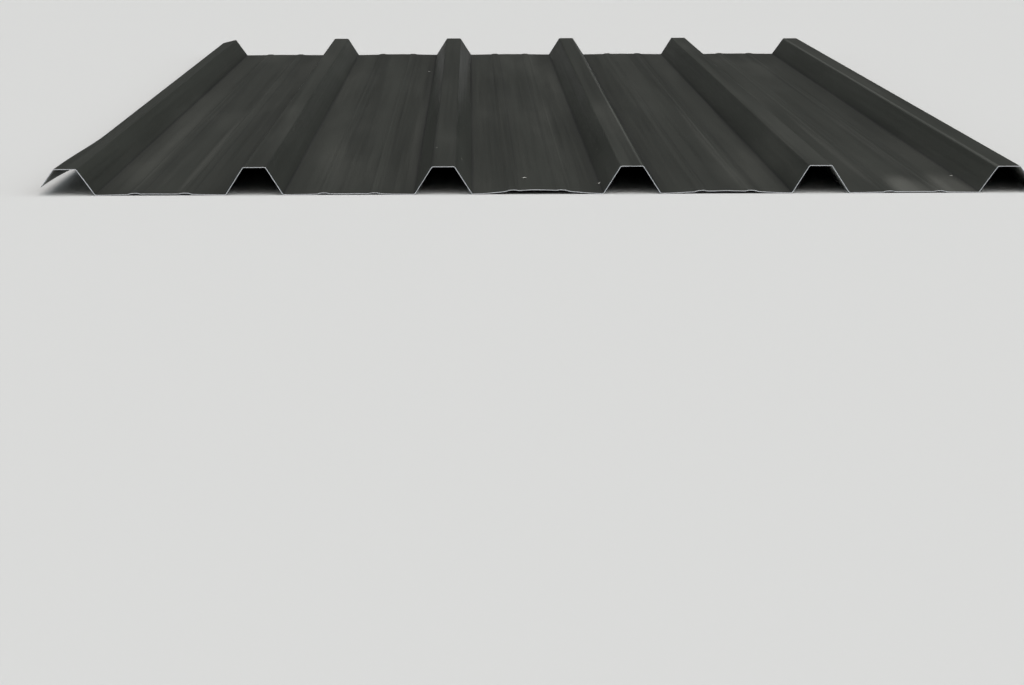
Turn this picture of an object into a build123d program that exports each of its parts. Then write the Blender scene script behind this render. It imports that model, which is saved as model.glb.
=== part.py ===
"""Corrugated metal sheet: one roll-formed steel sheet with six trapezoidal ribs and five flat pans.

Frame: ribs run along Y, the sheet's width is along X and +Z is up, as it lies on a floor.
The pans' undersides and the underlap foot rest at z = 0, and the origin is at the centre of the footprint.
Lengths are millimetres.
"""
from build123d import *

import os

# The blank
SHEET_LENGTH = 2400.0
SHEET_THICKNESS = 0.7

# Ribs, measured on the outer face between sharp corners
RIB_COUNT = 6
RIB_PITCH = 200.0
RIB_HEIGHT = 29.0
CROWN_WIDTH = 24.0
RIB_BASE_WIDTH = 61.0
BEND_RADIUS = 2.0

# Side laps: the two outer ribs are a little lower and more open, so that one goes over the other. The left one
# ends in a short leg, and the right one reaches the floor and has a foot.
LAP_RIB_HEIGHT = 27.5
LAP_RIB_BASE_WIDTH = 64.0
LEG_DROP = 19.0
FOOT_WIDTH = 16.0

# Shallow raised flutes that stiffen each pan
FLUTES_PER_PAN = 2
FLUTE_SPACING = 54.0
FLUTE_WIDTH = 14.0
FLUTE_CROWN_WIDTH = 6.0
FLUTE_HEIGHT = 1.0
FLUTE_BEND_RADIUS = 4.0

# Levels of the outer face
pan_level = SHEET_THICKNESS
crown_level = pan_level + RIB_HEIGHT
lap_crown_level = pan_level + LAP_RIB_HEIGHT
flute_level = pan_level + FLUTE_HEIGHT

# The leg leans as the lap ribs' flanks do: outwards by this much for each millimetre that it drops
lap_flank_lean = (LAP_RIB_BASE_WIDTH - CROWN_WIDTH) / 2 / LAP_RIB_HEIGHT
leg_reach = CROWN_WIDTH / 2 + LEG_DROP * lap_flank_lean
foot_reach = LAP_RIB_BASE_WIDTH / 2 + FOOT_WIDTH

# The footprint is centred: the foot reaches further to the right than the leg does to the left
rib_span = (RIB_COUNT - 1) * RIB_PITCH
first_rib = (leg_reach - foot_reach - rib_span) / 2
rib_centres = [first_rib + number * RIB_PITCH for number in range(RIB_COUNT)]
pan_centres = [rib_centre + RIB_PITCH / 2 for rib_centre in rib_centres[:-1]]

# A bend that points up turns the outer face round the outside of the metal, and one that points
# down turns it round the inside
outside_bend = BEND_RADIUS + SHEET_THICKNESS
outside_flute_bend = FLUTE_BEND_RADIUS + SHEET_THICKNESS


def raised_form(centre, base_width, top_width, top_level):
    """Corners of a rib or a flute on the outer face: foot, shoulder, shoulder and foot, left to right."""
    return [
        (centre - base_width / 2, pan_level),
        (centre - top_width / 2, top_level),
        (centre + top_width / 2, top_level),
        (centre + base_width / 2, pan_level),
    ]


def rib(centre):
    return raised_form(centre, RIB_BASE_WIDTH, CROWN_WIDTH, crown_level)


def lap_rib(centre):
    return raised_form(centre, LAP_RIB_BASE_WIDTH, CROWN_WIDTH, lap_crown_level)


def flutes(pan_centre):
    """Corners of a pan's flutes, evenly spaced about its middle."""
    corners = []
    for number in range(FLUTES_PER_PAN):
        centre = pan_centre + (number - (FLUTES_PER_PAN - 1) / 2) * FLUTE_SPACING
        corners += raised_form(centre, FLUTE_WIDTH, FLUTE_CROWN_WIDTH, flute_level)
    return corners


# Bend radii of the outer face at the corners of one rib and of one pan's flutes
rib_bends = [BEND_RADIUS, outside_bend, outside_bend, BEND_RADIUS]
flute_bends = [FLUTE_BEND_RADIUS, outside_flute_bend, outside_flute_bend, FLUTE_BEND_RADIUS]
pan_bends = flute_bends * FLUTES_PER_PAN

# The first rib has no left foot: its flank stops at the leg's tip
leg_tip = (rib_centres[0] - leg_reach, lap_crown_level - LEG_DROP)
foot_end = (rib_centres[-1] + foot_reach, pan_level)

ribs = [lap_rib(rib_centres[0]), *map(rib, rib_centres[1:-1]), lap_rib(rib_centres[-1])]

bend_corners = ribs[0][1:]
bend_radii = rib_bends[1:]
for pan_centre, next_rib in zip(pan_centres, ribs[1:]):
    bend_corners += flutes(pan_centre) + next_rib
    bend_radii += pan_bends + rib_bends

with BuildPart() as corrugated_sheet:
    with BuildSketch(Plane.XZ) as section:
        with BuildLine() as outer_face:
            FilletPolyline(leg_tip, *bend_corners, foot_end, radius=bend_radii)
            offset(amount=SHEET_THICKNESS, side=Side.RIGHT)
        make_face()
    extrude(amount=SHEET_LENGTH / 2, both=True)

corrugated_sheet.part.label = "corrugated_sheet"
coil_width = section.sketch.area / SHEET_THICKNESS
print(f"coil width {coil_width:.1f} mm, sheet volume {corrugated_sheet.part.volume / 1000:.1f} cm3")

os.makedirs("parts", exist_ok=True)
export_step(corrugated_sheet.part, "parts/corrugated_sheet.step")
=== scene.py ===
"""Corrugated metal sheet: the finished look of one roll-formed, coil-coated steel sheet on a studio floor.

Everything is in metres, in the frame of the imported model: ribs along Y, width along X, +Z up.
"""

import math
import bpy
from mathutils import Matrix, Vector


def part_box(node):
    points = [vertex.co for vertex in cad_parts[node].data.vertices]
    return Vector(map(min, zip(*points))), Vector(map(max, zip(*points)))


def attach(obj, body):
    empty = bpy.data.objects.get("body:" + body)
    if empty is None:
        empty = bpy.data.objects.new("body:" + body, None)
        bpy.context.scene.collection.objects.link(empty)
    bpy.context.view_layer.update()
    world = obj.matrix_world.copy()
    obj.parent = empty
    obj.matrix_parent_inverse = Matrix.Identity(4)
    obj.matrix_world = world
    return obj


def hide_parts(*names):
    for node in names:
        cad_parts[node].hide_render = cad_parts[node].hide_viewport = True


bl_info = {
    "name": "Corrugated metal sheet",
    "version": (1, 0, 0),
    "blender": (4, 5, 0),
    "location": "3D View > Sidebar > Metal sheet",
    "description": "Builds a trapezoidal steel sheet with its coatings and cut edges, and a studio around it",
    "category": "Add Mesh",
}

import bpy
import numpy as np
from bpy.props import FloatProperty, FloatVectorProperty, IntProperty, PointerProperty
from mathutils import Matrix

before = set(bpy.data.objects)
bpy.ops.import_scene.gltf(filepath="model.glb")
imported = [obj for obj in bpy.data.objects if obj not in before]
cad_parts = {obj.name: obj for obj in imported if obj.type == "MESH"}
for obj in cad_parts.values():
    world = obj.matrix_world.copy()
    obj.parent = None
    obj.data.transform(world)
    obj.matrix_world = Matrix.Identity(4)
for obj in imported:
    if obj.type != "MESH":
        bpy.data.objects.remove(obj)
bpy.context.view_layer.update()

NODE = "corrugated_sheet"
BODY = "root"
NODE_LOW, NODE_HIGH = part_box(NODE)

MM = 0.001
FULL_TURN = 2 * math.pi


def linear(hex_colour):
    """An sRGB hex colour as linear red, green and blue."""
    channels = np.array([int(hex_colour[i:i + 2], 16) for i in (1, 3, 5)]) / 255
    curve = ((channels + 0.055) / 1.055) ** 2.4
    return tuple(float(v) for v in np.where(channels <= 0.04045, channels / 12.92, curve))


def length_property(name, description, default):
    return FloatProperty(name=name, description=description, default=default, min=0, unit="LENGTH")


def colour_property(name, description, default):
    return FloatVectorProperty(name=name, description=description, default=linear(default), subtype="COLOR",
                               min=0, max=1)


class SheetSettings(bpy.types.PropertyGroup):
    """Sizes and colours of the sheet."""

    thickness: length_property("Thickness", "Gauge of the steel with its coatings", 0.7 * MM)
    rib_count: IntProperty(name="Ribs", description="Number of ribs across the sheet", default=6, min=2)
    rib_pitch: length_property("Rib pitch", "Distance from one rib's middle to the next", 200 * MM)
    crown_width: length_property("Crown width", "Width of a rib's top between sharp corners", 24 * MM)
    base_width: length_property("Base width", "Width of a rib at its feet between sharp corners", 61 * MM)
    bend_radius: length_property("Bend radius", "Inside radius of a rib's bends", 2 * MM)
    lap_height: length_property("Lap rib height", "Height of the two outer ribs above the pans", 27.5 * MM)
    lap_base_width: length_property("Lap rib base width", "Width of an outer rib at its feet", 64 * MM)
    leg_drop: length_property("Leg drop", "How far the overlap leg comes down from its crown", 19 * MM)
    foot_width: length_property("Foot width", "Flat strip beyond the underlap rib", 16 * MM)
    flute_spacing: length_property("Flute spacing", "Distance between the two flutes of a pan", 54 * MM)
    flute_width: length_property("Flute width", "Width of a flute at its feet", 14 * MM)
    flute_crown: length_property("Flute crown", "Width of a flute's top", 6 * MM)
    flute_height: length_property("Flute height", "Rise of a flute above its pan", 1 * MM)
    flute_radius: length_property("Flute bend radius", "Inside radius of a flute's bends", 4 * MM)

    coat_colour: colour_property("Coat", "Polyester coil coating on the weather side", "#30322D")
    backing_colour: colour_property("Backing", "Thin backing coat on the underside", "#9A9C98")
    steel_colour: colour_property("Cut steel", "Bare galvanised steel where the sheet is cut", "#DDE0E4")


class StudioSettings(bpy.types.PropertyGroup):
    """Camera, light and floor around the sheet."""

    camera_place: FloatVectorProperty(name="Camera place", description="Where the camera stands",
                                      default=(-0.0821, -4.646, 0.3587), subtype="TRANSLATION", unit="LENGTH")
    camera_yaw: FloatProperty(name="Yaw", description="Turn of the view from +Y towards +X",
                              default=math.radians(0.72), subtype="ANGLE")
    camera_pitch: FloatProperty(name="Pitch", description="How far the view looks down",
                                default=math.radians(8.54), subtype="ANGLE")
    camera_roll: FloatProperty(name="Roll", description="Tilt of the camera about its view",
                               default=math.radians(-0.13), subtype="ANGLE")
    camera_lens: FloatProperty(name="Lens", description="Focal length on a 36 mm wide sensor, in millimetres",
                               default=114.9, min=1)
    overhead_light: FloatProperty(name="Overhead light", description="Strength of the soft light from above",
                                  default=0.95, min=0)
    front_light: FloatProperty(name="Front light", description="Strength of the soft light beside the camera",
                               default=0.4, min=0)
    left_light: FloatProperty(name="Left light", description="Strength of the soft light from the left",
                              default=1.2, min=0)
    right_light: FloatProperty(name="Right light", description="Strength of the soft light from the right",
                               default=1.8, min=0)
    floor_colour: colour_property("Floor", "Plain pale floor", "#DBDBDA")


# The section's outer line

# Most turn between two points of a bend, and the length of flat run for each point there
BEND_STEP = math.radians(15)
FLAT_STEP = 7.5 * MM
# How far a run's outermost points lie from its bends, and their share of a bend's painted shade
FLAT_MARGIN = 1.2 * MM
FOOT_SHADE_SPREAD = 0.2
# Share of a step by which a turn may pass a whole number of steps without one more step
ROUNDING = 1e-6

# Painted light and shade on the outer face of the bends, left to right: above 0 a paler painted highlight,
# below 0 a darker painted shade. A rib has foot, shoulder, shoulder and foot, and a pan's row has the same
# for each of its two flutes.
RIB_BEND_SHADING = np.array([-1.0, 0.0, -0.12, -1.0])
FLUTE_BEND_SHADING = np.array([
    [0.0, 0.14, -0.1, -0.45, 0.0, 0.1, -0.1, -0.6],
    [0.0, 0.05, -0.1, -0.2, 0.0, 0.07, -0.1, -0.3],
    [0.0, 0.04, -0.1, -0.5, -0.45, -0.1, 0.0, 0.12],
    [0.0, 0.06, -0.1, -0.45, 0.0, 0.12, -0.1, -0.35],
    [0.0, 0.1, -0.1, -0.35, -0.3, 0.14, 0.05, -0.35]])
# Shoulders with a painted highlight (above 0) or painted shade (below 0) of their own: number of the rib and
# of its corner, counted from 0 at the left
SHOULDER_SHADING = {(2, 1): -0.45, (3, 2): 0.5, (5, 1): 0.55}


def section_corners(sheet):
    """Corners of the section's outer line, left to right, and the radius and painted light and shade of each
    inner one's bend.

    A rib is foot, shoulder, shoulder and foot about its middle, and a pan has the same of each flute. The two
    outer ribs are lap ribs, with a height and a base width of their own. The first one starts with the tip of
    its short leg in place of a foot, and the last one goes on to the end of its foot strip. Gives the middles
    of the pans too.
    """
    pan_level = NODE_LOW[2] + sheet.thickness
    crown_level = NODE_HIGH[2]
    lap_crown_level = pan_level + sheet.lap_height
    lap_lean = (sheet.lap_base_width - sheet.crown_width) / 2 / sheet.lap_height
    leg_reach = sheet.crown_width / 2 + sheet.leg_drop * lap_lean
    first_rib = NODE_LOW[0] + leg_reach
    ribs = first_rib + np.arange(sheet.rib_count) * sheet.rib_pitch
    pans = ribs[:-1] + sheet.rib_pitch / 2

    rib_halves = np.array([-sheet.base_width, -sheet.crown_width, sheet.crown_width, sheet.base_width]) / 2
    rib_x = ribs[:, None] + rib_halves
    rib_z = np.tile([pan_level, crown_level, crown_level, pan_level], (len(ribs), 1))
    rib_x[[0, -1], 0] = ribs[[0, -1]] - sheet.lap_base_width / 2
    rib_x[[0, -1], 3] = ribs[[0, -1]] + sheet.lap_base_width / 2
    rib_z[[0, -1], 1:3] = lap_crown_level
    flute_halves = np.array([
        -sheet.flute_width, -sheet.flute_crown, sheet.flute_crown, sheet.flute_width]) / 2
    flute_places = np.array([-0.5, 0.5]) * sheet.flute_spacing
    flute_x = (pans[:, None, None] + flute_places[:, None] + flute_halves).reshape(len(pans), -1)
    flute_level = pan_level + sheet.flute_height
    flute_z = np.tile([pan_level, flute_level, flute_level, pan_level], (len(pans), 2))

    # The outer face goes round the outside of the metal at a shoulder and round the inside at a foot
    rib_radii = sheet.bend_radius + np.array([0, 1, 1, 0]) * sheet.thickness
    flute_radii = sheet.flute_radius + np.array([0, 1, 1, 0] * 2) * sheet.thickness
    radii = np.tile(np.concatenate([rib_radii, flute_radii]), len(pans))

    def in_order(rib_part, flute_part):
        return np.concatenate([np.hstack([rib_part[:-1], flute_part]).ravel(), rib_part[-1]])[1:]

    rib_shading = np.tile(RIB_BEND_SHADING, (len(ribs), 1))
    for (rib, corner), bend_shading in SHOULDER_SHADING.items():
        if rib < len(ribs):
            rib_shading[rib, corner] = bend_shading
    flute_shading = FLUTE_BEND_SHADING[np.arange(len(pans)) % len(FLUTE_BEND_SHADING)]
    corners = np.stack([in_order(rib_x, flute_x), in_order(rib_z, flute_z)], axis=1)
    bend_shading = in_order(rib_shading, flute_shading)
    leg_tip = [NODE_LOW[0], lap_crown_level - sheet.leg_drop]
    foot_end = [ribs[-1] + sheet.lap_base_width / 2 + sheet.foot_width, pan_level]
    radii = np.concatenate([radii, rib_radii])[1:]
    return np.vstack([leg_tip, corners, foot_end]), radii, bend_shading, pans


def bent_line(corners, radii, bend_shading):
    """Samples a line of straight runs and round bends, from left to right.

    Each inner corner is cut back on both sides by its radius times the tangent of half its turn, and an arc
    joins the two ends. On a bend the heading turns evenly from one run's to the next one's, and the point
    lies a radius from the arc's centre along the heading's normal. On a run the points lie evenly between its
    two ends, with the outermost ones close to the bends. Gives each point, its normal, which points up on a
    level run, and its painted light and shade. On a bend that is the bend's. On a run it is 0, apart from the
    outermost points, which have a share of the next bend's painted shade.
    """
    runs = np.diff(corners, axis=0)
    directions = runs / np.linalg.norm(runs, axis=1)[:, None]
    headings = np.arctan2(runs[:, 1], runs[:, 0])
    turns = np.diff(headings)
    cut_back = (radii * np.tan(np.abs(turns) / 2))[:, None]
    bend_starts = corners[1:-1] - directions[:-1] * cut_back
    run_starts = np.vstack([corners[:1], corners[1:-1] + directions[1:] * cut_back])
    run_ends = np.vstack([bend_starts, corners[-1:]])
    run_lengths = np.linalg.norm(run_ends - run_starts, axis=1)
    bend_lengths = radii * np.abs(turns)
    bend_stations = np.cumsum(run_lengths[:-1] + np.append(0, bend_lengths[:-1]))
    run_stations = np.append(0, bend_stations + bend_lengths)

    def spread(counts):
        """Number of its bend or run for each point, and the point's number there."""
        which = np.repeat(np.arange(len(counts)), counts)
        return which, np.arange(len(which)) - (np.cumsum(counts) - counts)[which]

    def normal_of(heading):
        return np.stack([-np.sin(heading), np.cos(heading)], axis=1)

    steps = np.ceil(np.abs(turns) / BEND_STEP - ROUNDING).astype(int)
    which, number = spread(steps + 1)
    share = number / steps[which]
    bend_heading = headings[which] + turns[which] * share
    arm = (np.sign(turns) * radii)[which, None]
    bend_points = bend_starts[which] + arm * (normal_of(headings[which]) - normal_of(bend_heading))
    bend_at = bend_stations[which] + bend_lengths[which] * share
    shading_on_bends = bend_shading[which]

    margins = np.minimum(FLAT_MARGIN, run_lengths / 4)
    counts = np.maximum(np.ceil(run_lengths / FLAT_STEP).astype(int), 2)
    which, number = spread(counts)
    inner = (run_lengths - 2 * margins)[which] * number / (counts - 1)[which]
    run_at = margins[which] + inner
    run_points = run_starts[which] + directions[which] * run_at[:, None]
    run_heading = headings[which]
    run_at = run_at + run_stations[which]
    bend_beside = np.where(number == 0, np.append(0, bend_shading)[which], 0)
    bend_beside = np.where(number == (counts - 1)[which], np.append(bend_shading, 0)[which], bend_beside)
    run_shade = FOOT_SHADE_SPREAD * np.minimum(bend_beside, 0)

    points = np.vstack([corners[:1], bend_points, run_points, corners[-1:]])
    heading = np.concatenate([headings[:1], bend_heading, run_heading, headings[-1:]])
    point_shading = np.concatenate([[0], shading_on_bends, run_shade, [0]])
    stations = np.concatenate([[0], bend_at, run_at, [run_stations[-1] + run_lengths[-1]]])
    order = np.argsort(stations, kind="stable")
    return points[order], normal_of(heading[order]), point_shading[order]


# The sheet

# The cut ends: a fine bevel, and the coat chipped off along the edge
CUT_BEVEL = 0.1 * MM
BARE_RIM = 0.4 * MM
# Rows of points: close together in the zone at each end, and even between
END_ZONE = 250 * MM
END_ROWS = 13
MIDDLE_ROWS = 48

# How far each pan bows up at the near and the far cut end, left to right
NEAR_BOWS = np.array([0.8, 0.5, 3.9, 2.4, 0.5]) * MM
FAR_BOWS = np.array([0.4, 0.9, 0.5, 0.8, 0.4]) * MM
BOW_REACH = 280 * MM
# Slow waves in the pans, which cold rolling leaves: length and start, in turns, of each pan's first wave. Its
# second one is longer and starts at twice the turns, so that the sum doesn't repeat.
WAVE_RISE = 0.35 * MM
WAVE_LENGTHS = np.array([430, 370, 520, 400, 470]) * MM
WAVE_STARTS = np.array([0.1, 0.62, 0.35, 0.8, 0.25])
SECOND_WAVE = 1.73
# The shear's ripple at the cut ends, and the turns by which it is shifted to and fro across the sheet
RIPPLE_RISE = 0.22 * MM
RIPPLE_LENGTH = 31 * MM
RIPPLE_REACH = 14 * MM
RIPPLE_SHIFT = 0.3
SHIFT_LENGTH = 170 * MM
# How far handling has bent down the overlap rib's crown and leg, how far in from the near end that much is
# reached, and the width of the shoulder that the bend is spread over
LEG_HANG = math.radians(13.5)
HANG_REACH = 500 * MM
HANG_BLEND = 2 * MM

# Places in the mesh's list of materials
COATING, BACKING, CUT_STEEL = range(3)


def rows_along(length):
    """Distances of the rows from the near end: squares of even steps at each end, and even steps between."""
    near = BARE_RIM + (END_ZONE - BARE_RIM) * np.linspace(0, 1, END_ROWS) ** 2
    middle = np.linspace(END_ZONE, length - END_ZONE, MIDDLE_ROWS)[1:-1]
    return np.concatenate([[CUT_BEVEL], near, middle, length - near[::-1], [length - CUT_BEVEL]])


def pan_rise(x, along, length, pans, half_pan):
    """How far the sheet stands above its nominal section at x, a distance along from the near end.

    Across a pan the rise goes as (1 - q squared) squared, with q from -1 to 1 between its two rib feet, so
    that nothing moves at the ribs. Along it three things add up. The bow of each cut end fades as
    exp(-(distance / reach) squared). The slow wave is a quarter of two plus two sines along the pan. The
    shear's ripple is half of one plus a sine across the end, and dies out as exp(-distance / reach).
    """
    nearest = np.abs(x[:, None] - pans).argmin(axis=1)
    q = np.clip((x - pans[nearest]) / half_pan, -1, 1)
    across = ((1 - q ** 2) ** 2)[:, None]
    pan = (nearest % len(NEAR_BOWS))[:, None]
    from_far = length - along
    near_bow = NEAR_BOWS[pan] * np.exp(-(along / BOW_REACH) ** 2)
    far_bow = FAR_BOWS[pan] * np.exp(-(from_far / BOW_REACH) ** 2)
    phase = along / WAVE_LENGTHS[pan] + WAVE_STARTS[pan]
    second = along / (WAVE_LENGTHS[pan] * SECOND_WAVE) + 2 * WAVE_STARTS[pan]
    wave = WAVE_RISE * (2 + np.sin(FULL_TURN * phase) + np.sin(FULL_TURN * second)) / 4
    ripple_turns = x / RIPPLE_LENGTH + RIPPLE_SHIFT * np.sin(FULL_TURN * x / SHIFT_LENGTH)
    ripple = RIPPLE_RISE * (1 + np.sin(FULL_TURN * ripple_turns))[:, None] / 2
    fade = np.exp(-along / RIPPLE_REACH) + np.exp(-from_far / RIPPLE_REACH)
    return across * (near_bow + far_bow + wave + ripple * fade)


def hang_leg(x, z, along, shoulder):
    """Turns the overlap rib's crown and leg about the rib's inner shoulder, so that they hang down.

    The angle grows from 0 at the near end to the full hang as a smooth step, 3 s squared minus 2 s cubed,
    with s the share of the reach, and stays the same from there on. Leftwards across the shoulder it grows
    evenly from 0 too, so that no crease forms.
    """
    step = np.clip(along / HANG_REACH, 0, 1)
    angle = LEG_HANG * step ** 2 * (3 - 2 * step)
    angle = angle * np.clip((shoulder[0] - x[:, :1]) / HANG_BLEND, 0, 1)
    from_x, from_z = x - shoulder[0], z - shoulder[1]
    turned_x = from_x * np.cos(angle) - from_z * np.sin(angle)
    turned_z = from_x * np.sin(angle) + from_z * np.cos(angle)
    return shoulder[0] + turned_x, shoulder[1] + turned_z


def build_sheet(sheet):
    """The sheet as one closed surface of two parameters, s across it and t round it.

    A point is the outer line's point at s, moved back along the line's normal by the depth at t, carried
    along Y to the place at t, raised by pan_rise and turned by hang_leg. As t goes round, depth and place run
    along the outer face at depth 0, down the far cut end, back along the underside at a depth of the
    thickness, and up the near cut end. Two strips of quads close the slit edges at the first and the last s.
    """
    corners, radii, shading_on_bends, pans = section_corners(sheet)
    line, normal, bend_shading = bent_line(corners, radii, shading_on_bends)
    length = NODE_HIGH[1] - NODE_LOW[1]
    rows = rows_along(length)
    thick = sheet.thickness
    face_rows = len(rows)

    along = np.concatenate([[0], rows, [length, length], rows[::-1], [0]])
    depth = np.concatenate([[CUT_BEVEL], np.zeros(face_rows), [CUT_BEVEL, thick - CUT_BEVEL],
                            np.full(face_rows, thick), [thick - CUT_BEVEL]])
    around, across = len(along), len(line)

    x = line[:, :1] - normal[:, :1] * depth
    z = line[:, 1:] - normal[:, 1:] * depth
    half_pan = (sheet.rib_pitch - sheet.base_width) / 2
    z = z + pan_rise(line[:, 0], along, length, pans, half_pan)
    x, z = hang_leg(x, z, along, corners[2])
    y = np.broadcast_to(NODE_LOW[1] + along, x.shape)
    points = np.stack([x, y, z], axis=-1).reshape(-1, 3)

    s = np.arange(across - 1)[:, None]
    t = np.arange(around)
    after = (t + 1) % around
    skin = np.stack(np.broadcast_arrays(s * around + t, (s + 1) * around + t, (s + 1) * around + after,
                                        s * around + after), axis=-1).reshape(-1, 4)
    t = np.arange(face_rows + 1)
    left = np.stack([t, t + 1, around - 2 - t, around - 1 - t], axis=1)
    right = left[:, ::-1] + (across - 1) * around
    faces = np.vstack([skin, left, right])

    # Outer coat on top, backing coat underneath, bare steel on the cut ends, their rims and the slit edges
    finish = np.full(around, CUT_STEEL)
    finish[2:face_rows - 1] = COATING
    finish[face_rows + 3:around - 2] = BACKING
    finish = np.concatenate([np.tile(finish, across - 1), np.full(len(left) + len(right), CUT_STEEL)])

    mesh = bpy.data.meshes.new("roll_formed_sheet")
    mesh.vertices.add(len(points))
    mesh.vertices.foreach_set("co", points.astype(np.float32).ravel())
    mesh.loops.add(faces.size)
    mesh.loops.foreach_set("vertex_index", faces.astype(np.int32).ravel())
    mesh.polygons.add(len(faces))
    mesh.polygons.foreach_set("loop_start", np.arange(0, faces.size, 4, dtype=np.int32))
    mesh.polygons.foreach_set("material_index", finish.astype(np.int32))
    mesh.update(calc_edges=True)
    mesh.shade_smooth()

    ends = np.empty(len(mesh.edges) * 2, np.int32)
    mesh.edges.foreach_get("vertices", ends)
    ends = ends.reshape(-1, 2)
    s_of, t_of = ends // around, ends % around
    # The shading breaks along the bevels of both cut ends, and along the slit edges
    near_bevels, far_bevels = [-2, -1, 0, 1], face_rows + np.arange(4)
    corner_rows = np.append(near_bevels, far_bevels) % around
    sharp = (t_of[:, 0] == t_of[:, 1]) & np.isin(t_of[:, 0], corner_rows)
    sharp |= (s_of[:, 0] == s_of[:, 1]) & np.isin(s_of[:, 0], [0, across - 1])
    mesh.attributes.new("sharp_edge", "BOOLEAN", "EDGE").data.foreach_set("value", sharp)

    # Painted light and shade at each point: above 0 a paler painted highlight on shoulders and flute tops,
    # below 0 painted shade in the feet of the ribs and flutes
    bend_shading = np.repeat(bend_shading, around).astype(np.float32)
    mesh.attributes.new("bend_shading", "FLOAT", "POINT").data.foreach_set("value", bend_shading)
    mesh.validate()
    return mesh


# Materials

def add_node(tree, kind, settings=None, inputs=None):
    """Adds a node with its own settings, and gives each input, by name or number, a value or a link."""
    node = tree.nodes.new(kind)
    for name, value in (settings or {}).items():
        setattr(node, name, value)
    for name, value in (inputs or {}).items():
        if isinstance(value, bpy.types.NodeSocket):
            tree.links.new(value, node.inputs[name])
        else:
            node.inputs[name].default_value = value
    return node


def new_material(name):
    """An empty node material, its tree and the object coordinates in it."""
    material = bpy.data.materials.new(name)
    material.use_nodes = True
    tree = material.node_tree
    tree.nodes.clear()
    return material, tree, add_node(tree, "ShaderNodeTexCoord").outputs["Object"]


# Direction in which a seed moves a noise
SEED_STEP = (1.0, 1.7, 0.6)


def grain(tree, place, spacing, detail=2.0, roughness=0.5, seed=0.0):
    """Noise from 0 to 1 whose grains measure spacing, in metres, along X, Y and Z."""
    scaled = add_node(tree, "ShaderNodeMapping", None, {
        "Vector": place, "Location": tuple(seed * step for step in SEED_STEP),
        "Scale": tuple(1 / size for size in spacing)})
    noise = add_node(tree, "ShaderNodeTexNoise", {"noise_dimensions": "3D"}, {
        "Vector": scaled.outputs["Vector"], "Scale": 1.0, "Detail": detail, "Roughness": roughness})
    return noise.outputs["Fac"]


def ramp(tree, value, low, high, start=0.0, end=1.0):
    """Value from low to high as a smooth step from start to end."""
    return add_node(tree, "ShaderNodeMapRange", {"interpolation_type": "SMOOTHSTEP"}, {
        "Value": value, "From Min": low, "From Max": high, "To Min": start, "To Max": end}).outputs["Result"]


def maths(tree, operation, first, second=0.0):
    return add_node(tree, "ShaderNodeMath", {"operation": operation}, {0: first, 1: second}).outputs["Value"]


def blend(tree, share, first, second):
    return add_node(tree, "ShaderNodeMix", {"data_type": "RGBA"}, {0: share, 6: first, 7: second}).outputs[2]


def shade(colour, factor=1.0):
    """A colour with its linear channels scaled, as a socket takes it."""
    return (*(min(channel * factor, 1) for channel in colour), 1)


# What lies on the coating or shows through it, and the tones of the painted highlight, the painted shade and
# the painted reflection streaks
HANDLING_HAZE = linear("#77766F")
DUST_AND_SHEEN_TONE = linear("#888882")
BEND_HIGHLIGHT_TONE = linear("#7A7C76")
FOOT_SHADE_TONE = linear("#191A19")
PALE_SPECK = linear("#EFEDE6")
# Specks of pale dust that lie apart on the sheet: X, Y, Z and radius
DUST_SPOTS = np.array([
    (-22.8, -1056, 3.7, 2.2), (-92, -995, 18.6, 1.1), (-120.3, -976, 29.7, 0.85), (-149.6, 751, 0.9, 1.68),
    (57.8, -1094, 1.2, 1.62), (453.5, -1024, 0.9, 1.67)]) * MM
# Scattered finer specks: one at most in each cell, in about a third of the cells, and the most that one's
# radius can be
SPECK_CELL = 110 * MM
SPECK_RADIUS = 0.9 * MM
CELLS_WITH_NONE = 0.66
# Pale bands, partly dry dust and partly painted reflection streaks, each fading out from its middle: X, Y,
# half its width and half its length, and its share of the pale tone in thousandths
DUST_AND_SHEEN_BANDS = np.array([
    (-462, -150, 26, 1400, 40), (-392, -700, 6, 650, 80), (209, -560, 6, 680, 90),
    (391, -1190, 30, 210, 250), (436, -1190, 29, 240, 220), (354, -700, 6, 640, 90),
    (408, -560, 7, 560, 110), (-147, -500, 11, 850, 60)]) * MM


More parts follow.
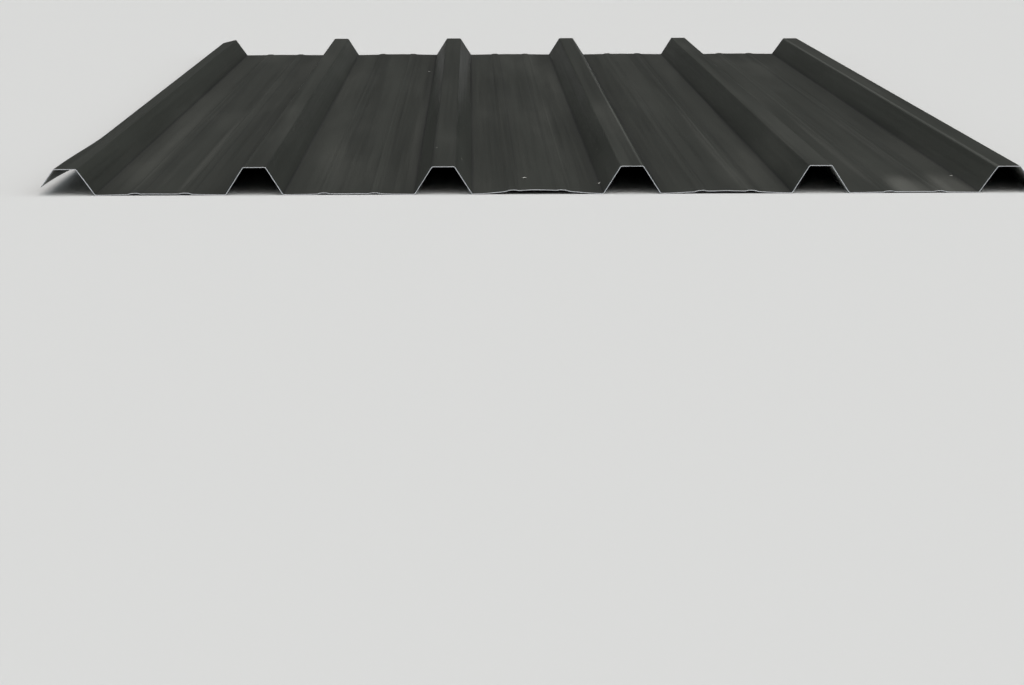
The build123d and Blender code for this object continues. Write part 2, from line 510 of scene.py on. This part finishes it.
def polyester_coil_coating(sheet):
    """Polyester coil coating, roller-laid and baked on galvanised steel, then bent by the forming rolls.

    To the eye: a dark, greenish grey satin, even in colour, with faint streaks along the sheet where the
    rolls slid, the broader ones lighter as painted reflection streaks, soft hazy patches from handling, pale
    bands that are partly dry dust and partly painted reflection streaks, painted highlights along some
    shoulders and flute tops, painted shade in the feet of the ribs and flutes, and a few specks of pale dust.
    """
    material, tree, place = new_material("polyester_coil_coating")
    bend_shading = add_node(tree, "ShaderNodeAttribute", {"attribute_name": "bend_shading"}).outputs["Fac"]
    # Roll streaks are 1 to 4 mm wide and run for decimetres, and broader ones lie under them. The broader
    # ones, lighter in colour, are partly painted reflection streaks.
    streaks = grain(tree, place, (4 * MM, 900 * MM, 4 * MM), detail=3, roughness=0.6, seed=3)
    broad = grain(tree, place, (24 * MM, 2200 * MM, 24 * MM), detail=2, seed=11)
    # Handling haze comes in patches a hand wide, drawn out along the sheet
    haze = grain(tree, place, (70 * MM, 700 * MM, 70 * MM), detail=3, roughness=0.5, seed=7)
    # Orange peel of a baked coating, about 1.5 mm from crest to crest
    peel = grain(tree, place, (1.5 * MM, 1.5 * MM, 1.5 * MM), detail=1, seed=1)

    coat = tuple(sheet.coat_colour)
    colour = blend(tree, ramp(tree, streaks, 0.3, 0.7), shade(coat, 0.92), shade(coat, 1.08))
    # Broader streaks, lighter in colour: roll streaks in the coat's tone, partly painted reflection streaks
    colour = blend(tree, ramp(tree, broad, 0.35, 0.65, 0, 0.4), colour, shade(coat, 1.38))
    colour = blend(tree, ramp(tree, haze, 0.5, 0.8, 0, 0.08), colour, shade(HANDLING_HAZE))
    # Pale bands: partly dry dust, partly painted reflection streaks
    colour = blend(tree, dust_and_sheen_bands(tree, place, broad), colour, shade(DUST_AND_SHEEN_TONE))
    # Painted highlight: paler where the bend shading is above 0, on shoulders and flute tops
    highlight_share = maths(tree, "MAXIMUM", bend_shading, 0.0)
    painted_highlight = maths(tree, "MULTIPLY", highlight_share, ramp(tree, streaks, 0.2, 0.6, 0.3, 0.6))
    colour = blend(tree, painted_highlight, colour, shade(BEND_HIGHLIGHT_TONE))
    # Painted shade: darker where the bend shading is below 0, in the feet of the ribs and flutes
    shade_share = maths(tree, "MINIMUM", bend_shading, 0.0)
    painted_shade = maths(tree, "MULTIPLY", shade_share, ramp(tree, haze, 0.3, 0.6, -0.75, -0.5))
    colour = blend(tree, painted_shade, colour, shade(FOOT_SHADE_TONE))

    specks = dust_specks(tree, place)
    colour = blend(tree, specks, colour, shade(PALE_SPECK))

    # Satin, duller where it is hazy, and the specks are matt
    roughness = ramp(tree, haze, 0.3, 0.75, 0.34, 0.44)
    roughness = maths(tree, "ADD", roughness, ramp(tree, streaks, 0.3, 0.7, -0.03, 0.03))
    roughness = maths(tree, "ADD", roughness, ramp(tree, broad, 0.3, 0.7, -0.03, 0.03))
    roughness = maths(tree, "MAXIMUM", roughness, maths(tree, "MULTIPLY", specks, 0.95))

    bump = add_node(tree, "ShaderNodeBump", None, {"Height": peel, "Distance": 0.004 * MM, "Strength": 0.3})
    bump = add_node(tree, "ShaderNodeBump", None, {
        "Height": streaks, "Distance": 0.012 * MM, "Strength": 0.3, "Normal": bump.outputs["Normal"]})
    bump = add_node(tree, "ShaderNodeBump", None, {
        "Height": specks, "Distance": 0.4 * MM, "Strength": 1.0, "Normal": bump.outputs["Normal"]})
    shader = add_node(tree, "ShaderNodeBsdfPrincipled", None, {
        "Base Color": colour, "Roughness": roughness, "IOR": 1.5, "Normal": bump.outputs["Normal"]})
    add_node(tree, "ShaderNodeOutputMaterial", None, {"Surface": shader.outputs["BSDF"]})
    return material


def dust_and_sheen_bands(tree, place, grain_of_dust):
    """Share of the pale tone, partly dry dust and partly painted reflection streaks, in the coat's colour:
    the listed bands, each a soft ellipse broken up by a grain.
    """
    total = 0.0
    for x, y, half_width, half_length, share in DUST_AND_SHEEN_BANDS.tolist():
        offset = add_node(tree, "ShaderNodeVectorMath", {"operation": "SUBTRACT"}, {0: place, 1: (x, y, 0)})
        scaled = add_node(tree, "ShaderNodeVectorMath", {"operation": "MULTIPLY"}, {
            0: offset.outputs["Vector"], 1: (1 / half_width, 1 / half_length, 0)})
        away = add_node(tree, "ShaderNodeVectorMath", {"operation": "LENGTH"}, {0: scaled.outputs["Vector"]})
        total = maths(tree, "ADD", total, ramp(tree, away.outputs["Value"], 0.4, 1.0, share, 0.0))
    return maths(tree, "MULTIPLY", total, ramp(tree, grain_of_dust, 0.2, 0.7, 0.5, 1.3))


def dust_specks(tree, place):
    """1 on the listed dust spots and on a few scattered finer specks, and 0 elsewhere."""
    wobble = grain(tree, place, (1.2 * MM, 1.2 * MM, 1.2 * MM), detail=2, seed=5)
    flat = add_node(tree, "ShaderNodeVectorMath", {"operation": "MULTIPLY"}, {0: place, 1: (1, 1, 0)})
    cells = add_node(tree, "ShaderNodeTexVoronoi", {"feature": "F1"}, {
        "Vector": flat.outputs["Vector"], "Scale": 1 / SPECK_CELL})
    size = add_node(tree, "ShaderNodeSeparateColor", None, {"Color": cells.outputs["Color"]})
    # A cell's distances are shares of its width
    reach = ramp(tree, size.outputs["Red"], CELLS_WITH_NONE, 1.0, 0.0, SPECK_RADIUS / SPECK_CELL)
    specks = maths(tree, "LESS_THAN", cells.outputs["Distance"], maths(tree, "MULTIPLY", reach, wobble))
    for x, y, z, radius in DUST_SPOTS.tolist():
        away = add_node(tree, "ShaderNodeVectorMath", {"operation": "DISTANCE"}, {0: place, 1: (x, y, z)})
        edge = maths(tree, "MULTIPLY", wobble, 2 * radius)
        specks = maths(tree, "MAXIMUM", specks, maths(tree, "LESS_THAN", away.outputs["Value"], edge))
    return specks


def epoxy_backing_coat(sheet):
    """Thin epoxy backing coat, rolled on the underside of the strip.

    To the eye: a light, flat grey with little gloss, faintly streaked along the sheet where the coat is thin.
    """
    material, tree, place = new_material("epoxy_backing_coat")
    streaks = grain(tree, place, (6 * MM, 700 * MM, 6 * MM), detail=3, roughness=0.6, seed=13)
    patches = grain(tree, place, (120 * MM, 300 * MM, 120 * MM), detail=2, seed=17)
    back = tuple(sheet.backing_colour)
    colour = blend(tree, ramp(tree, streaks, 0.3, 0.7), shade(back, 0.9), shade(back, 1.06))
    colour = blend(tree, ramp(tree, patches, 0.4, 0.8, 0, 0.3), colour, shade(back, 0.8))
    roughness = ramp(tree, streaks, 0.3, 0.7, 0.52, 0.62)
    bump = add_node(tree, "ShaderNodeBump", None, {"Height": streaks, "Distance": 0.01 * MM, "Strength": 0.5})
    shader = add_node(tree, "ShaderNodeBsdfPrincipled", None, {
        "Base Color": colour, "Roughness": roughness, "Normal": bump.outputs["Normal"]})
    add_node(tree, "ShaderNodeOutputMaterial", None, {"Surface": shader.outputs["BSDF"]})
    return material


def sheared_galvanised_steel(sheet):
    """Galvanised steel sheared through, left bare.

    To the eye: a bright, slightly blue silver line, brushed up and down by the blade.
    """
    material, tree, place = new_material("sheared_galvanised_steel")
    # The blade's marks are a tenth of a millimetre apart, and are drawn 0.8 mm apart so that they show
    marks = grain(tree, place, (0.8 * MM, 0.8 * MM, 6 * MM), detail=2, seed=19)
    patches = grain(tree, place, (18 * MM, 18 * MM, 18 * MM), detail=2, seed=23)
    steel = tuple(sheet.steel_colour)
    colour = blend(tree, ramp(tree, marks, 0.3, 0.7), shade(steel, 0.72), shade(steel, 1.08))
    colour = blend(tree, ramp(tree, patches, 0.45, 0.8, 0, 0.35), colour, shade(steel, 0.7))
    roughness = ramp(tree, marks, 0.3, 0.7, 0.5, 0.32)
    bump = add_node(tree, "ShaderNodeBump", None, {"Height": marks, "Distance": 0.03 * MM, "Strength": 0.6})
    shader = add_node(tree, "ShaderNodeBsdfPrincipled", None, {
        "Base Color": colour, "Metallic": 1.0, "Roughness": roughness, "Normal": bump.outputs["Normal"]})
    add_node(tree, "ShaderNodeOutputMaterial", None, {"Surface": shader.outputs["BSDF"]})
    return material


class SheetBuilder(bpy.types.Operator):
    """Build the roll-formed sheet with its coatings and cut edges"""

    bl_idname = "metal_sheet.build_sheet"
    bl_label = "Build sheet"
    bl_options = {"REGISTER", "UNDO"}

    def execute(self, context):
        sheet = context.scene.metal_sheet
        mesh = build_sheet(sheet)
        for finish in (polyester_coil_coating, epoxy_backing_coat, sheared_galvanised_steel):
            mesh.materials.append(finish(sheet))
        piece = bpy.data.objects.new("roll_formed_sheet", mesh)
        context.scene.collection.objects.link(piece)
        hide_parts(NODE)
        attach(piece, BODY)
        return {"FINISHED"}


# The studio

# The floor is wide enough to reach the picture's edges from every side, and a little below the sheet
FLOOR_HALF = 100.0
FLOOR_GAP = 0.2 * MM
CLIP_END = 400.0
SENSOR_WIDTH = 36.0
# The dome's tint, and its strength at the horizon and what the zenith adds
DOME_TINT = linear("#F0F1F3")
DOME_HORIZON = 0.02
DOME_ZENITH = 0.5
# Where the lamps' symbols stand, which makes no difference to a sun's light
LAMP_HEIGHT = 3.0
# Soft lamps: name, azimuth from -Y towards +X, elevation and angle across, in degrees, and tint
OVERHEAD = ("overhead_softbox", 20, 68, 96, "#FFEFE2")
FRONT = ("front_softbox", 8, 42, 70, "#F6FAFF")
LEFT = ("left_softbox", -70, 32, 80, "#E4EDF1")
RIGHT = ("right_softbox", 70, 34, 80, "#E4EDF1")


def add_lamp(scene, lamp, strength):
    """A soft lamp at no distance, so that the floor is lit evenly: a sun as wide as a softbox looks."""
    name, azimuth, elevation, width, tint = lamp
    data = bpy.data.lights.new(name, "SUN")
    data.energy = strength
    data.color = linear(tint)
    data.angle = math.radians(width)
    lamp_object = bpy.data.objects.new(name, data)
    turn = (Matrix.Rotation(math.radians(azimuth), 4, "Z")
            @ Matrix.Rotation(math.radians(90 - elevation), 4, "X"))
    lamp_object.matrix_world = Matrix.Translation((0, 0, LAMP_HEIGHT)) @ turn
    scene.collection.objects.link(lamp_object)


def add_world(scene):
    """A dome that is dark at the horizon and grows with the square of the height towards the zenith."""
    world = bpy.data.worlds.new("studio_dome")
    world.use_nodes = True
    tree = world.node_tree
    tree.nodes.clear()
    direction = add_node(tree, "ShaderNodeTexCoord").outputs["Generated"]
    height = add_node(tree, "ShaderNodeSeparateXYZ", None, {0: direction}).outputs["Z"]
    height = maths(tree, "MAXIMUM", height, 0.0)
    squared = maths(tree, "MULTIPLY", height, height)
    strength = maths(tree, "ADD", maths(tree, "MULTIPLY", squared, DOME_ZENITH), DOME_HORIZON)
    background = add_node(tree, "ShaderNodeBackground", None, {
        "Color": shade(DOME_TINT), "Strength": strength})
    add_node(tree, "ShaderNodeOutputWorld", None, {"Surface": background.outputs["Background"]})
    scene.world = world


def add_floor(scene, colour):
    """A level square whose corners are plus and minus its half width in X and Y, just under the sheet."""
    signs = np.array([(-1, -1), (1, -1), (1, 1), (-1, 1)])
    points = np.column_stack([signs * FLOOR_HALF, np.full(4, NODE_LOW[2] - FLOOR_GAP)])
    mesh = bpy.data.meshes.new("studio_floor")
    mesh.from_pydata(points.tolist(), [], [(0, 1, 2, 3)])
    # Matt studio paper: pale, with no shine
    material, tree, _ = new_material("matt_studio_paper")
    shader = add_node(tree, "ShaderNodeBsdfPrincipled", None, {
        "Base Color": shade(colour), "Roughness": 0.95, "Specular IOR Level": 0.1})
    add_node(tree, "ShaderNodeOutputMaterial", None, {"Surface": shader.outputs["BSDF"]})
    mesh.materials.append(material)
    floor = bpy.data.objects.new("studio_floor", mesh)
    scene.collection.objects.link(floor)


def add_camera(scene, studio):
    data = bpy.data.cameras.new("camera")
    data.lens = studio.camera_lens
    data.sensor_width = SENSOR_WIDTH
    data.clip_end = CLIP_END
    camera = bpy.data.objects.new("camera", data)
    turn = (Matrix.Rotation(-studio.camera_yaw, 4, "Z")
            @ Matrix.Rotation(math.pi / 2 - studio.camera_pitch, 4, "X")
            @ Matrix.Rotation(studio.camera_roll, 4, "Z"))
    camera.matrix_world = Matrix.Translation(studio.camera_place) @ turn
    scene.collection.objects.link(camera)
    scene.camera = camera


class StudioBuilder(bpy.types.Operator):
    """Set up the camera, the lamps, the sky dome and the pale floor"""

    bl_idname = "metal_sheet.set_studio"
    bl_label = "Set up studio"
    bl_options = {"REGISTER", "UNDO"}

    def execute(self, context):
        scene = context.scene
        studio = scene.metal_sheet_studio
        add_camera(scene, studio)
        add_lamp(scene, OVERHEAD, studio.overhead_light)
        add_lamp(scene, FRONT, studio.front_light)
        add_lamp(scene, LEFT, studio.left_light)
        add_lamp(scene, RIGHT, studio.right_light)
        add_world(scene)
        add_floor(scene, tuple(studio.floor_colour))
        scene.view_settings.view_transform = "Standard"
        return {"FINISHED"}


class SheetPanel(bpy.types.Panel):
    """Sizes, colours and the steps that build the sheet and its studio"""

    bl_idname = "VIEW3D_PT_metal_sheet"
    bl_label = "Metal sheet"
    bl_space_type = "VIEW_3D"
    bl_region_type = "UI"
    bl_category = "Metal sheet"

    def draw(self, context):
        for settings, builder in ((context.scene.metal_sheet, SheetBuilder),
                                  (context.scene.metal_sheet_studio, StudioBuilder)):
            column = self.layout.column(align=True)
            for name in settings.__annotations__:
                column.prop(settings, name)
            self.layout.operator(builder.bl_idname)


CLASSES = (SheetSettings, StudioSettings, SheetBuilder, StudioBuilder, SheetPanel)


def register():
    for item in CLASSES:
        bpy.utils.register_class(item)
    bpy.types.Scene.metal_sheet = PointerProperty(type=SheetSettings)
    bpy.types.Scene.metal_sheet_studio = PointerProperty(type=StudioSettings)


def unregister():
    del bpy.types.Scene.metal_sheet_studio
    del bpy.types.Scene.metal_sheet
    for item in reversed(CLASSES):
        bpy.utils.unregister_class(item)


def main():
    register()
    bpy.ops.metal_sheet.build_sheet()
    bpy.ops.metal_sheet.set_studio()


if __name__ == "__main__":
    main()
